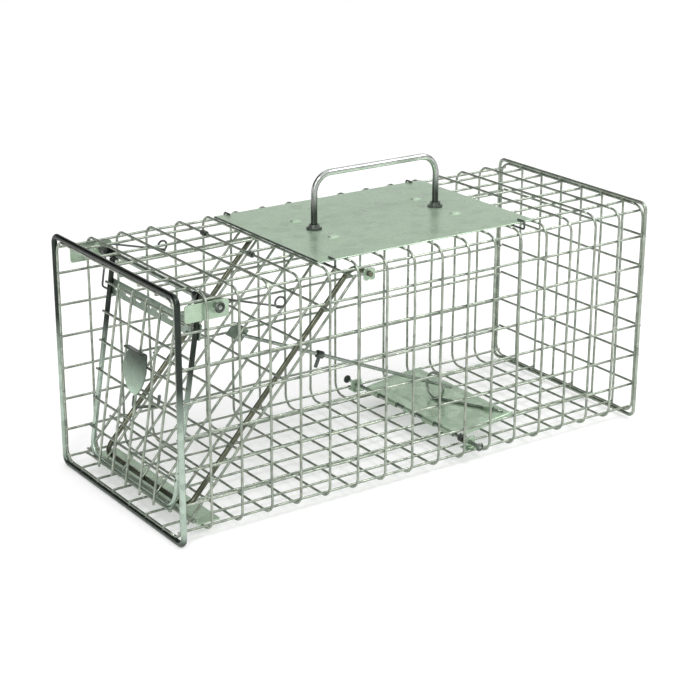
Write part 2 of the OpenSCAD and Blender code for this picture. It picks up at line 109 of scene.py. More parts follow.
def galvanised(name, dark, light, metallic, rough, spangle=220, bump=0.25, stain=0.35, painted_shade=None):
    """Zinc coat: crystal spangle, cloudy tone, roughness that follows both, and a fine orange-peel bump.

    The optional (height, shade) pairs paint shade into the coat by height: how much of its light tone it
    keeps at each height above the ground, with a ragged edge. The clouds average a half, which the two map
    ends allow for.
    """
    m = bpy.data.materials.new(name)
    m.use_nodes = True
    t = m.node_tree
    n = t.nodes
    shader = n["Principled BSDF"]
    shader.inputs["Metallic"].default_value = metallic
    where = n.new("ShaderNodeTexCoord")
    crystals = n.new("ShaderNodeTexVoronoi")
    crystals.inputs["Scale"].default_value = spangle
    crystals.inputs["Randomness"].default_value = 1.0
    clouds = n.new("ShaderNodeTexNoise")
    clouds.inputs["Scale"].default_value = 38
    clouds.inputs["Detail"].default_value = 6
    grains = n.new("ShaderNodeTexNoise")
    grains.inputs["Scale"].default_value = 1400
    grains.inputs["Detail"].default_value = 3
    tone = n.new("ShaderNodeMix")
    tone.data_type = "FLOAT"
    tone.inputs["Factor"].default_value = 0.5
    split = n.new("ShaderNodeSeparateColor")
    colour = ramp(n, [(0.22, dark), (0.5, [(a + b) / 2 for a, b in zip(dark, light)]), (0.8, light)])
    dirt = ramp(n, [(0.30, (1 - stain,) * 3), (0.52, (1, 1, 1))])
    dirt_noise = n.new("ShaderNodeTexNoise")
    dirt_noise.inputs["Scale"].default_value = 95
    dirt_noise.inputs["Detail"].default_value = 8
    dirt_noise.inputs["Roughness"].default_value = 0.7
    mix = n.new("ShaderNodeMix")
    mix.data_type = "RGBA"
    mix.blend_type = "MULTIPLY"
    mix.inputs["Factor"].default_value = 1.0
    roughness = n.new("ShaderNodeMapRange")
    roughness.inputs["From Min"].default_value = 0.2
    roughness.inputs["From Max"].default_value = 0.8
    roughness.inputs["To Min"].default_value = rough + 0.14
    roughness.inputs["To Max"].default_value = rough - 0.08
    peel = n.new("ShaderNodeBump")
    peel.inputs["Strength"].default_value = bump
    peel.inputs["Distance"].default_value = 0.0002
    links(t,
          (where.outputs["Object"], crystals.inputs["Vector"]),
          (where.outputs["Object"], clouds.inputs["Vector"]),
          (where.outputs["Object"], grains.inputs["Vector"]),
          (where.outputs["Object"], dirt_noise.inputs["Vector"]),
          (crystals.outputs["Color"], split.inputs["Color"]),
          (split.outputs["Red"], tone.inputs["A"]),
          (clouds.outputs["Fac"], tone.inputs["B"]),
          (tone.outputs["Result"], colour.inputs["Fac"]),
          (dirt_noise.outputs["Fac"], dirt.inputs["Fac"]),
          (colour.outputs["Color"], mix.inputs["A"]),
          (dirt.outputs["Color"], mix.inputs["B"]),
          (mix.outputs["Result"], shader.inputs["Base Color"]),
          (tone.outputs["Result"], roughness.inputs["Value"]),
          (roughness.outputs["Result"], shader.inputs["Roughness"]),
          (grains.outputs["Fac"], peel.inputs["Height"]),
          (peel.outputs["Normal"], shader.inputs["Normal"]))
    # Painted shade: darkens the base colour by height above the ground
    if painted_shade:
        height = n.new("ShaderNodeSeparateXYZ")
        ragged = n.new("ShaderNodeMath")
        ragged.operation = "MULTIPLY_ADD"
        ragged.inputs[1].default_value = RAGGED
        level = n.new("ShaderNodeMapRange")
        level.inputs["From Min"].default_value = RAGGED / 2
        level.inputs["From Max"].default_value = RAGGED / 2 + TALLEST
        shade_by_height = ramp(n, [(h / TALLEST, (shade,) * 3) for h, shade in painted_shade])
        shade_multiply = n.new("ShaderNodeMix")
        shade_multiply.data_type = "RGBA"
        shade_multiply.blend_type = "MULTIPLY"
        shade_multiply.inputs["Factor"].default_value = 1.0
        links(t,
              (where.outputs["Object"], height.inputs["Vector"]),
              (clouds.outputs["Fac"], ragged.inputs[0]),
              (height.outputs["Z"], ragged.inputs[2]),
              (ragged.outputs["Value"], level.inputs["Value"]),
              (level.outputs["Result"], shade_by_height.inputs["Fac"]),
              (mix.outputs["Result"], shade_multiply.inputs["A"]),
              (shade_by_height.outputs["Color"], shade_multiply.inputs["B"]),
              (shade_multiply.outputs["Result"], shader.inputs["Base Color"]))
    return m


MATERIALS = {
    "mesh_wire": galvanised("mesh_wire_zinc", (0.24, 0.28, 0.23), (0.40, 0.44, 0.37), 0.90, 0.28, stain=0.35),
    "rear_rod": galvanised("rear_rod_zinc", (0.26, 0.30, 0.25), (0.42, 0.46, 0.39), 0.90, 0.28, spangle=160,
                           stain=0.3),
    # Painted shade on the front ring: its bottom bar and its upper part are darkened, standing in for dark
    # reflections
    "ring_rod": galvanised("ring_rod_zinc", (0.34, 0.42, 0.355), (0.44, 0.53, 0.455), 0.97, 0.22, spangle=160,
                           stain=0.22, painted_shade=[(0.005, 0.22), (0.012, 1), (pz(3.1), 1), (pz(4.6), 0.09)]),
    "heavy_rod": galvanised("heavy_rod_zinc", (0.22, 0.26, 0.22), (0.36, 0.41, 0.36), 0.97, 0.24, spangle=160,
                            stain=0.25),
    "door_rod": galvanised("door_rod_steel", (0.09, 0.10, 0.07), (0.20, 0.21, 0.15), 0.95, 0.26, spangle=160,
                           stain=0.35),
    "sheet": galvanised("sheet_zinc", (0.36, 0.475, 0.35), (0.43, 0.55, 0.42), 0.55, 0.24, spangle=110,
                        bump=0.12, stain=0.10),
    "dull_sheet": galvanised("dull_sheet_zinc", (0.21, 0.27, 0.21), (0.31, 0.38, 0.315), 0.60, 0.36,
                             spangle=110, bump=0.12, stain=0.25),
    # Painted shade on the finger grip: darker towards its top
    "grip_sheet": galvanised("grip_sheet_zinc", (0.33, 0.44, 0.34), (0.42, 0.55, 0.43), 0.85, 0.22,
                             spangle=110, bump=0.12, stain=0.15, painted_shade=[(pz(3.2), 1), (pz(4.4), 0.13)]),
    # Painted shade on the bail: its legs are darker towards the plate
    "handle_rod": galvanised("handle_zinc", (0.36, 0.38, 0.36), (0.52, 0.54, 0.52), 1.0, 0.16, spangle=90,
                             bump=0.1, stain=0.15, painted_shade=[(ROOF + 0.015, 0.2), (ROOF + 0.035, 1)]),
    "spring_wire": galvanised("spring_steel", (0.05, 0.055, 0.05), (0.14, 0.15, 0.14), 0.9, 0.28, stain=0.3),
    "fixings": galvanised("dark_fixings", (0.05, 0.06, 0.05), (0.15, 0.17, 0.15), 0.9, 0.36, stain=0.4),
}


# ---------- mesh building ----------

def fillet(points, r, closed=False, steps=7):
    """Polyline with its corners rounded. r is one radius, or a list with one for each point."""
    points = [Vector(p) for p in points]
    count = len(points)
    radii = r if isinstance(r, list) else [r] * count
    out = []
    for i, p in enumerate(points):
        if not closed and i in (0, count - 1):
            out.append(p)
            continue
        u = (p - points[i - 1]).normalized()
        v = (points[(i + 1) % count] - p).normalized()
        angle = u.angle(v)
        if angle < 1e-4:
            out.append(p)
            continue
        start = p - u * radii[i] * math.tan(angle / 2)
        inward = (v - u * math.cos(angle)).normalized()
        centre = start + inward * radii[i]
        for k in range(steps + 1):
            a = angle * k / steps
            out.append(centre + (u * math.sin(a) - inward * math.cos(a)) * radii[i])
    return out


def refine(path, step, closed=False):
    """The same polyline with points no further apart than step."""
    out = []
    ends = path[1:] + path[:1] if closed else path[1:]
    for a, b in zip(path, ends):
        cuts = max(1, math.ceil((b - a).length / step))
        out += [a.lerp(b, k / cuts) for k in range(cuts)]
    if not closed:
        out.append(path[-1])
    return out


class Builder:
    """Collects tubes and blobs into one mesh."""

    def __init__(self):
        self.bm = bmesh.new()

    def tube(self, path, radius, sides=10, closed=False, dome=0.5):
        """Sweeps a circle along path. Open ends are domed, as a sheared and dipped wire's are."""
        path = [Vector(p) for p in path]
        count = len(path)
        tangents = []
        for i in range(count):
            a = path[i - 1] if closed or i > 0 else path[i]
            b = path[(i + 1) % count] if closed or i < count - 1 else path[i]
            tangents.append((b - a).normalized())
        side = tangents[0].orthogonal().normalized()
        sides_of = [side]
        for a, b in zip(tangents, tangents[1:]):
            side = a.rotation_difference(b) @ side
            side = (side - b * side.dot(b)).normalized()
            sides_of.append(side)
        twist = 0.0
        if closed:
            last = tangents[-1].rotation_difference(tangents[0]) @ sides_of[-1]
            first = sides_of[0]
            twist = math.atan2(last.cross(first).dot(tangents[0]), last.dot(first))
        rings = []
        for i, (p, t, s) in enumerate(zip(path, tangents, sides_of)):
            if closed:
                s = Matrix.Rotation(twist * i / count, 3, t) @ s
            rings.append(self._ring(p, s, t.cross(s), radius, sides))
        if not closed:
            for end, sign in ((0, -1), (-1, 1)):
                p, t, s = path[end], tangents[end], sides_of[end]
                up = t.cross(s)
                cap = self._ring(p + t * sign * radius * dome * 0.7, s, up, radius * 0.72, sides)
                tip = self.bm.verts.new(p + t * sign * radius * dome)
                edge = rings[0] if end == 0 else rings[-1]
                self._band(*((cap, edge) if end == 0 else (edge, cap)))
                for k in range(sides):
                    a, b = cap[k], cap[(k + 1) % sides]
                    self.bm.faces.new((b, a, tip) if end == 0 else (a, b, tip))
        for a, b in zip(rings, rings[1:]):
            self._band(a, b)
        if closed:
            self._band(rings[-1], rings[0])
        return self

    def _ring(self, p, s, up, r, sides):
        angles = [2 * math.pi * k / sides for k in range(sides)]
        return [self.bm.verts.new(p + (s * math.cos(a) + up * math.sin(a)) * r) for a in angles]

    def _band(self, a, b):
        count = len(a)
        for k in range(count):
            j = (k + 1) % count
            self.bm.faces.new((a[k], a[j], b[j], b[k]))

    def blob(self, at, radii, axes=None):
        """Weld nugget: a small rounded lump with the given half sizes along axes."""
        turn = Matrix.Identity(3) if axes is None else Matrix(axes).transposed()
        place = Matrix.Translation(at) @ turn.to_4x4() @ Matrix.Diagonal((*radii, 1))
        bmesh.ops.create_icosphere(self.bm, subdivisions=2, radius=1, matrix=place)
        return self

    def done(self, name, body, slot, replaces):
        mesh = bpy.data.meshes.new(name)
        self.bm.normal_update()
        self.bm.to_mesh(mesh)
        self.bm.free()
        return piece(name, mesh, body, slot, replaces)


def piece(name, mesh, body, slot, replaces):
    o = bpy.data.objects.new(name, mesh)
    bpy.context.scene.collection.objects.link(o)
    mesh.materials.clear()
    mesh.materials.append(MATERIALS[slot])
    mesh.polygons.foreach_set("use_smooth", [True] * len(mesh.polygons))
    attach(o, body)
    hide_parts(*replaces)
    return o


def softened(node, body, slot):
    """Sheet part with its true shape and rolled edges, made from the CAD node's own mesh."""
    mesh = frame["nodes"][node].data.copy()
    mesh.name = node + "_pressed"
    bm = bmesh.new()
    bm.from_mesh(mesh)
    bmesh.ops.remove_doubles(bm, verts=bm.verts, dist=1e-6)
    bmesh.ops.dissolve_limit(bm, angle_limit=math.radians(1.0), verts=bm.verts, edges=bm.edges)
    bm.to_mesh(mesh)
    bm.free()
    bevel = piece(mesh.name, mesh, body, slot, [node]).modifiers.new("rolled_edges", "BEVEL")
    bevel.width = 0.0003
    bevel.segments = 2
    bevel.limit_method = "ANGLE"
    bevel.angle_limit = math.radians(40)
    bevel.harden_normals = True


# ---------- cage ----------

def wander(path, seed, amount, along):
    """Nudges a wire's points sideways by slow noise, as hand-straightened mesh is never quite true."""
    out = []
    for p in path:
        k = noise.noise_vector(Vector((p.x * 21, p.y * 21, p.z * 21)) + Vector((seed, 0, 0)))
        k -= along * k.dot(along)
        out.append(p + k * amount)
    return out


LONG_STEP = CELL / 3
INNER = WIDTH / 2 - LAYER


def nugget(builder, at, normal):
    """Weld where two crossing wires meet, a little different each time."""
    k = rng.uniform(0.9, 1.15)
    normal = Vector(normal).normalized()
    a = normal.orthogonal().normalized()
    builder.blob(at, (WIRE * 1.18 * k, WIRE * 1.18 * k, WIRE * 1.02), (a, normal.cross(a), normal))


def hoop_quarters(c):
    """One hoop's path, cut into floor, left wall, roof and right wall where the straight runs begin."""
    x = px(c)
    h = WIDTH / 2
    corners = [(x, -h, Z0), (x, h, Z0), (x, h, ROOF), (x, -h, ROOF)]
    straight = CORNER
    floor = [(x, -h + straight, Z0), (x, h - straight, Z0)]
    roof = [(x, h - straight, ROOF), (x, -h + straight, ROOF)]
    left = fillet([floor[1], corners[1], corners[2], roof[0]], CORNER - 1e-6, steps=8)
    right = fillet([roof[1], corners[3], corners[0], floor[0]], CORNER - 1e-6, steps=8)
    along = Vector((1, 0, 0))
    made = {}
    for name, path in (("floor", floor), ("left", left), ("roof", roof), ("right", right)):
        path = refine([Vector(p) for p in path], LONG_STEP)
        made[name] = [p + along * noise.noise(Vector((c * 3.1, p.y * 26, p.z * 26))) * 0.0005 for p in path]
    return made


def sleeve():
    """The four sides of the wire sleeve, with every crossing welded."""
    sides = {k: Builder() for k in ("floor", "left", "roof", "right")}
    for c in range(CELLS_LONG + 1):
        for name, path in hoop_quarters(c).items():
            sides[name].tube(path, WIRE, sides=10, dome=0)
    start, stop = px(0) - WIRE * 0.4, px(CELLS_LONG) + WIRE * 0.4

    def long_wire(name, y, z, normal, seed):
        path = refine([Vector((start, y, z)), Vector((stop, y, z))], LONG_STEP)
        sides[name].tube(wander(path, seed, 0.0005, Vector((1, 0, 0))), WIRE, sides=10, dome=0.55)
        for c in range(CELLS_LONG + 1):
            nugget(sides[name], Vector((px(c), y, z)) + Vector(normal) * LAYER / 2, normal)

    for k in range(1, CELLS_WIDE):
        long_wire("floor", py(k), Z0 + LAYER, (0, 0, -1), 10 + k)
        long_wire("roof", py(k), ROOF - LAYER, (0, 0, 1), 30 + k)
    edge = CORNER - (CORNER - LAYER) * math.sin(math.pi / 4)
    for name, s in (("left", 1), ("right", -1)):
        for k in range(1, CELLS_HIGH):
            long_wire(name, s * INNER, pz(k), (0, s, 0), 50 + 20 * s + k)
        for z, up in ((Z0 + edge, -1), (ROOF - edge, 1)):
            long_wire(name, s * (WIDTH / 2 - edge), z, (0, s * 0.7, up * 0.7), 90 + s + up)
    names = {"floor": "floor_mesh", "left": "left_wall_mesh", "roof": "roof_mesh", "right": "right_wall_mesh"}
    for key, node in names.items():
        sides[key].done("welded_" + node, "cage", "mesh_wire", [node])


def rear_panel():
    b = Builder()
    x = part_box("rear_mesh")[0].x + WIRE
    low, high = Z0 - WIRE * 0.5, ROOF + WIRE * 0.5
    reach = WIDTH / 2 + WIRE * 0.5
    for k in range(1, CELLS_WIDE):
        path = refine([Vector((x, py(k), low)), Vector((x, py(k), high))], LONG_STEP)
        b.tube([p + Vector((0, noise.noise(p * 24) * 0.0005, 0)) for p in path], WIRE)
    for k in range(1, CELLS_HIGH):
        path = refine([Vector((x + LAYER, -reach, pz(k))), Vector((x + LAYER, reach, pz(k)))], LONG_STEP)
        b.tube([p + Vector((0, 0, noise.noise(p * 24) * 0.0005)) for p in path], WIRE)
        for j in range(1, CELLS_WIDE):
            nugget(b, Vector((x + LAYER / 2, py(j), pz(k))), (1, 0, 0))
    b.done("welded_rear_mesh", "cage", "mesh_wire", ["rear_mesh"])


def frame_ring(node, c, rod, slot):
    """Heavy ring round an end of the cage, butt-welded under the floor and tacked to the last hoop."""
    b = Builder()
    off = rod + WIRE + AIR
    h = WIDTH / 2 + off
    x = px(c)
    corners = [(x, -h, Z0 - off), (x, h, Z0 - off), (x, h, ROOF + off), (x, -h, ROOF + off)]
    path = refine(fillet(corners, FRAME_CORNER, closed=True, steps=10), 0.012, closed=True)
    b.tube(path, rod, sides=20, closed=True)
    tack = WIDTH / 2 + WIRE
    for k in range(1, CELLS_WIDE):
        for at, normal in (((x, py(k), Z0 - WIRE), (0, 0, 1)), ((x, py(k), ROOF + WIRE), (0, 0, 1)),
                           ((x, tack, pz(k)), (0, 1, 0)), ((x, -tack, pz(k)), (0, 1, 0))):
            n = Vector(normal)
            a = Vector((1, 0, 0))
            b.blob(Vector(at), (rod * 0.72, 0.0019 * rng.uniform(0.8, 1.2), 0.0009), (a, n.cross(a), n))
    b.done(node + "_rod", "cage", slot, [node])


def straight_rod(node, radius):
    """Cross rod along Y with sheared ends."""
    lo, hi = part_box(node)
    x, z = (lo.x + hi.x) / 2, (lo.z + hi.z) / 2
    path = refine([Vector((x, lo.y + radius * 0.3, z)), Vector((x, hi.y - radius * 0.3, z))], 0.01)
    Builder().tube(path, radius, sides=16, dome=0.3).done(node + "_rod", "cage", "heavy_rod", [node])


# ---------- frames of reference of the moving parts ----------

MM = 0.001


class Local:
    """Axes of one moving part: x runs along it, y across the cage and z off its face, in millimetres."""

    def __init__(self, origin, x_axis, z_axis):
        self.origin = Vector(origin)
        self.x = Vector(x_axis).normalized()
        self.z = Vector(z_axis).normalized()

    def __call__(self, x, y, z=0.0):
        return self.origin + (self.x * x + Vector((0, y, 0)) + self.z * z) * MM

    def all(self, *points):
        return [self(*p) for p in points]


def hanging(joint, foot):
    """Axes of a part that hangs from a pivot, with x down to the foot, given in cells, and z to the front."""
    top = pivot(joint)
    x = (Vector((px(foot[0]), 0, pz(foot[1]))) - top).normalized()
    return Local(top, x, (x.z, 0, -x.x)), (Vector((px(foot[0]), 0, pz(foot[1]))) - top).length / MM


DOOR, DOOR_LEN = hanging("door_hinge", (0.8, 0.42))
FLAP, FLAP_LEN = hanging("lock_flap_hinge", (0.33, 0.42))
tail = Vector((px(12.2), 0, pz(0.82))) - pivot("trigger_pivot")
TRIGGER = Local(pivot("trigger_pivot"), tail, (-tail.z, 0, tail.x))
TRIGGER_LEN = tail.length / MM
tilt = math.radians(5.5)
TREADLE = Local(pivot("treadle_hinge"), (math.cos(tilt), 0, math.sin(tilt)),
                (-math.sin(tilt), 0, math.cos(tilt)))


# ---------- sheet metal ----------

def inset(outline, amount):
    """Outline moved inwards by amount, for a closed outline that runs anticlockwise."""
    out = []
    for i, p in enumerate(outline):
        u = (p - outline[i - 1]).normalized()
        v = (outline[(i + 1) % len(outline)] - p).normalized()
        n = Vector((-u.y - v.y, u.x + v.x))
        n = n.normalized() if n.length > 1e-6 else Vector((-u.y, u.x))
        out.append(p + n * amount / max(0.35, n.dot(Vector((-u.y, u.x)))))
    return out


def rounded(points, r, steps=6):
    return [Vector((p.x, p.y)) for p in fillet([(x, y, 0) for x, y in points], r, closed=True, steps=steps)]


def rectangle(x0, x1, y0, y1, r=0.0):
    points = [(x0, y0), (x1, y0), (x1, y1), (x0, y1)]
    return rounded(points, r) if r else [Vector(p) for p in points]


def circle(x, y, r, count=28):
    return [Vector((x + r * math.cos(a), y + r * math.sin(a)))
            for a in (2 * math.pi * k / count for k in range(count))]


def sheet_mesh(outer, holes, t, roll, cuts_x=(), cuts_y=()):
    """Flat sheet between z = 0 and t with rolled edges, cut into strips where it is going to be bent."""
    bm = bmesh.new()
    loops = [(outer, 1)] + [(h, -1) for h in holes]
    top, bottom = [], []
    for outline, sign in loops:
        rings = []
        for back, z in ((1, 0), (0.3, 0.3), (0, 1)):
            rings.append((inset(outline, sign * roll * back), roll * z))
        levels = rings + [(o, t - z) for o, z in reversed(rings)]
        made = [[bm.verts.new((p.x, p.y, z)) for p in o] for o, z in levels]
        for a, b in zip(made, made[1:]):
            for k in range(len(a)):
                j = (k + 1) % len(a)
                bm.faces.new((a[k], a[j], b[j], b[k]) if sign > 0 else (a[j], a[k], b[k], b[j]))
        bottom.append(made[0])
        top.append(made[-1])
    for sets, up in ((bottom, False), (top, True)):
        flat = [v for loop in sets for v in loop]
        for tri in tessellate_polygon([[v.co for v in loop] for loop in sets]):
            bm.faces.new([flat[i] for i in tri])
    for cuts, axis in ((cuts_x, 0), (cuts_y, 1)):
        for c in cuts:
            normal = Vector((0, 0, 0))
            normal[axis] = 1
            bmesh.ops.bisect_plane(bm, geom=bm.verts[:] + bm.edges[:] + bm.faces[:], dist=1e-7,
                                   plane_co=normal * c, plane_no=normal)
    return bm


def shaped(bm, place, name, body, slot, replaces):
    """Moves every vertex through place, which takes and gives millimetre points, and makes the piece."""
    for v in bm.verts:
        v.co = place(v.co)
    bmesh.ops.recalc_face_normals(bm, faces=bm.faces)
    mesh = bpy.data.meshes.new(name)
    bm.to_mesh(mesh)
    bm.free()
    mesh.set_sharp_from_angle(angle=math.radians(50))
    o = piece(name, mesh, body, slot, replaces)
    o.modifiers.new("flat_faces", "WEIGHTED_NORMAL").keep_sharp = True


def folded_down(u, w, at, r, t):
    """Where a point u past the fold line at goes, with w its height in the sheet: along, and up."""
    s = u - at
    if s <= 0:
        return u, w
    quarter = (r + t / 2) * math.pi / 2
    if s < quarter:
        a = s / (r + t / 2)
        return at + (r + w) * math.sin(a), -r + (r + w) * math.cos(a)
    return at + r + w, -r - (s - quarter)


def steps_between(a, b, count):
    return [a + (b - a) * k / count for k in range(count + 1)]


def soft_profile(points, r=0.3):
    """Cross-section with its corners rounded."""
    return [(p.x, p.y) for p in rounded(points, r, steps=3)]


# ---------- the pieces ----------

sleeve()
rear_panel()
frame_ring("front_frame", 0, FRONT_ROD, "ring_rod")
frame_ring("rear_frame", CELLS_LONG, REAR_ROD, "rear_rod")
straight_rod("flap_hinge_rod", 0.002)
straight_rod("treadle_axle", 0.0015)


def rod(points, radius, r, name, body, slot, replaces):
    """One bent rod. radius and the corner radius r are in metres."""
    path = refine(fillet(points, r, steps=9), 0.008)
    Builder().tube(path, radius, sides=16, dome=0.35).done(name, body, slot, replaces)


def entrance_sill():
    """Folded strip on the floor wires, with its front edge turned up."""
    lo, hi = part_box("entrance_sill")
    base = Local((lo.x, 0, lo.z), (1, 0, 0), (0, 0, 1))
    length, half = (hi.x - lo.x) / MM, hi.y / MM
    t, r, lip = 1.2, 0.8, 4.0
    flat = lip - t - r + (r + t / 2) * math.pi / 2
    outline = rounded([(-flat, -half), (length - t - r, -half), (length - t - r, half), (-flat, half)], 1.5)
    arc = [-(r + t / 2) * math.pi / 2 * k / 5 for k in range(6)]
    bm = sheet_mesh(outline, [], t, 0.3, cuts_x=arc)

    def place(p):
        along, up = folded_down(-p.x, t - p.z, 0, r, t)
        return base(t + r - along, p.y, t - up)
    shaped(bm, place, "sill_strip", "cage", "sheet", ["entrance_sill"])


def guard_plate():
    """Sheet cover on the roof wires: leg holes, four ridges, a little oil-canning, and a dark rolled front
    edge that paints the shade under the plate's front edge.
    """
    lo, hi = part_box("guard_plate")
    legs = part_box("carry_handle")
    base = Local((0, 0, lo.z), (1, 0, 0), (0, 0, 1))
    t = 0.8
    x0, x1, half = lo.x / MM, hi.x / MM, hi.y / MM
    feet = [x / MM for x in (legs[0].x + 0.0025, legs[1].x - 0.0025)]
    ridges = [(x, k * 1.02 * CELL / MM) for x in feet for k in (-1, 1)]
    near = [r[1] + k * 0.6 for r in ridges[:2] for k in range(-7, 8)]
    along = [x + k * 0.9 for x in feet for k in range(-7, 8)]
    bm = sheet_mesh(rectangle(x0, x1, -half, half, 2.5), [circle(x, 0, 3.0) for x in feet], t, 0.36,
                    steps_between(x0 + 1, x1 - 1, 24) + along, steps_between(-half + 1, half - 1, 18) + near)

    def place(p):
        wave = noise.noise(Vector((p.x * 0.022, p.y * 0.03, 3.0)))
        edge = min(1, (half - abs(p.y)) / 12, (p.x - x0) / 12, (x1 - p.x) / 12)
        ridge = 0
        for x, y in ridges:
            across, end = (p.y - y) / 3.2, abs(p.x - x) / 4.6
            if abs(across) < 1 and end < 1:
                ridge = 1.55 * math.cos(across * math.pi / 2) ** 0.7 * (1 - end ** 4)
        return base(p.x, p.y, p.z + 0.22 * (wave + 0.45) * max(0, edge) + ridge)
    shaped(bm, place, "cover_sheet", "cage", "sheet", ["guard_plate"])
    # Painted shade: a dark tube along the plate's front edge stands in for the shadow under it
    roll, inset = 0.0008, 0.0025
    ends = [Vector((lo.x + roll, s * (hi.y - inset), lo.z + roll)) for s in (-1, 1)]
    Builder().tube(refine(ends, 0.01), roll, sides=12, dome=0.3).done(
        "cover_edge_painted_shade", "cage", "fixings", ["guard_plate"])


def guard_plate_clips():
    lo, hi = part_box("guard_plate_clips")
    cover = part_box("guard_plate")[1]
    b = Builder()
    r = 0.0008
    for x in (lo.x + r, hi.x - r):
        for s in (-1, 1):
            points = [(x, s * (cover.y - 0.005), hi.z - r), (x, s * (cover.y + 0.003), hi.z - r),
                      (x, s * (cover.y + 0.003), lo.z + r), (x, s * (2.5 * CELL - 0.003), lo.z + r)]
            b.tube(fillet(points, 0.0016, steps=6), r, sides=10, dome=0.3)
    b.done("cover_staples", "cage", "fixings", ["guard_plate_clips"])


def handle():
    lo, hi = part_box("carry_handle")
    r = 0.0025
    a, b = lo.x + r, hi.x - r
    points = [(a, hi.y, lo.z + r), (a, 0, lo.z + r), (a, 0, hi.z - r),
              (b, 0, hi.z - r), (b, 0, lo.z + r), (b, lo.y, lo.z + r)]
    radii = [0, 0.005, 0.015, 0.015, 0.005, 0]
    path = refine(fillet(points, radii, steps=12), 0.008)
    Builder().tube(path, r, sides=20, dome=0.3).done("bail", "cage", "handle_rod", ["carry_handle"])
    bm = bmesh.new()
    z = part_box("handle_collars")[0].z
    profile = soft_profile([(2.6, 0), (6.0, 0), (6.0, 1.2), (4.4, 1.5), (3.9, 4.0), (2.6, 4.0)], 0.25)
    for x in (a, b):
        turned(bm, profile, (x, 0, z), (0, 0, 1))
    finish_turned(bm, "bail_collars", "cage", "fixings", ["handle_collars"])


def hoop_sleeves():
    """Two sleeves crimped on a roof hoop, each pinched in the middle."""
    lo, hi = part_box("hoop_sleeves")
    half = 3.0
    pinch = soft_profile([(1.1, -half), (2.25, -half), (2.35, -1.3), (1.9, -0.5), (1.9, 0.5), (2.35, 1.3),
                          (2.25, half), (1.1, half)], 0.2)
    bm = bmesh.new()
    for y in (lo.y + half * MM, hi.y - half * MM):
        turned(bm, pinch, ((lo.x + hi.x) / 2, y, (lo.z + hi.z) / 2), (0, 1, 0))
    finish_turned(bm, "crimped_sleeves", "cage", "fixings", ["hoop_sleeves"])


def turned(bm, profile, at, axis, sides=32):
    """Adds a turned piece: profile is (radius, height along the axis) in millimetres, round its section."""
    n = Vector(axis).normalized()
    s = n.orthogonal().normalized()
    u = n.cross(s)
    rings = []
    for k in range(sides):
        a = 2 * math.pi * k / sides
        out = s * math.cos(a) + u * math.sin(a)
        rings.append([bm.verts.new(Vector(at) + (out * r + n * h) * MM) for r, h in profile])
    for k in range(sides):
        a, b = rings[k], rings[(k + 1) % sides]
        for i in range(len(profile)):
            j = (i + 1) % len(profile)
            bm.faces.new((a[i], b[i], b[j], a[j]))


def finish_turned(bm, name, body, slot, replaces):
    bmesh.ops.recalc_face_normals(bm, faces=bm.faces)
    mesh = bpy.data.meshes.new(name)
    bm.to_mesh(mesh)
    bm.free()
    mesh.set_sharp_from_angle(angle=math.radians(50))
    return piece(name, mesh, body, slot, replaces)


def caps(node, rod_d):
    """Push-on caps on a cross rod's two ends, with a dished flange."""
    lo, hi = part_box(node)
    bm = bmesh.new()
    hole, rim = rod_d / 2 + 0.1, rod_d / 2 + 2
    profile = soft_profile([(hole, 0), (rim, 0), (rim, 0.7), (rim - 0.9, 1.6), (hole, 1.6)], 0.18)
    for s, y in ((1, hi.y - 0.0016), (-1, lo.y + 0.0016)):
        turned(bm, profile, ((lo.x + hi.x) / 2, y, (lo.z + hi.z) / 2), (0, s, 0))
    finish_turned(bm, node + "_dished", "cage", "fixings", [node])


def pivot_plate(node, rod_d, height):
    """Bracket plate on a wall's inside, with a pressed boss round its bore and a spot weld at each end."""
    lo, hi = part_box(node)
    s = 1 if lo.y > 0 else -1
    bore = pivot("door_hinge" if "door" in node else "lock_flap_hinge") / MM
    face = s * (WIDTH / 2 - LAYER - WIRE - AIR) / MM
    t = 1.2
    front, back = lo.x / MM - bore.x, hi.x / MM - bore.x
    outline = rounded([(front, 4 - height), (back, 4 - height), (back, 4), (front, 4)], 2.0)
    reach = steps_between(-8, 8, 16)
    bm = sheet_mesh(outline, [circle(0, 0, rod_d / 2 + 0.1)], t, 0.25, reach, reach)
    dimples = [(x, 4 - height / 2) for x in (front + 4, back - 4) if abs(x) > 5]

    def place(p):
        boss = 1.1 / (1 + math.exp((math.hypot(p.x, p.y) - 4.4) * 3))
        dent = sum(0.4 * math.exp(-((p.x - x) ** 2 + (p.y - y) ** 2) / 1.8) for x, y in dimples)
        away = t - p.z + boss - dent
        return Vector((bore.x + p.x, face - s * away, bore.z + p.y)) * MM
    shaped(bm, place, node + "_pressed", "cage", "sheet", [node])


def helix(at, r, turns, pitch, side, start=0.0, steps=18):
    """Points of a coil round the Y axis, from its outer end inwards."""
    out = []
    for k in range(int(turns * steps) + 1):
        a = start + 2 * math.pi * k / steps
        out.append(Vector(at) + Vector((-r * math.sin(a), -side * pitch * k / steps, r * math.cos(a))))
    return out


def torsion_spring(side):
    """Coil on the hinge rod. Its long arm runs back to a loop that hangs on the wall."""
    node = "spring_left" if side > 0 else "spring_right"
    wire, r, loop = 0.0008, 0.0039, 0.004
    at = pivot("lock_flap_hinge") + Vector((0, side * 3.12 * CELL, 0))
    coil = helix(at, r, 5.25, wire * 2 * 1.12, side)
    centre = Vector((px(3.45), side * 3.28 * CELL, pz(6.3)))
    turns = [centre + Vector((math.cos(a), 0, math.sin(a))) * loop
             for a in (math.radians(g) for g in range(-60, -435, -15))]
    turns = [p + Vector((0, side * wire * 2.1 * k / len(turns), 0)) for k, p in enumerate(turns)]
    arm = refine([turns[-1], coil[0] + Vector((0.001, 0, 0))], 0.012)
    path = turns + arm[1:-1] + coil
    Builder().tube(path, wire, sides=10, dome=0.3).done("torsion_" + node, "cage", "spring_wire", [node])


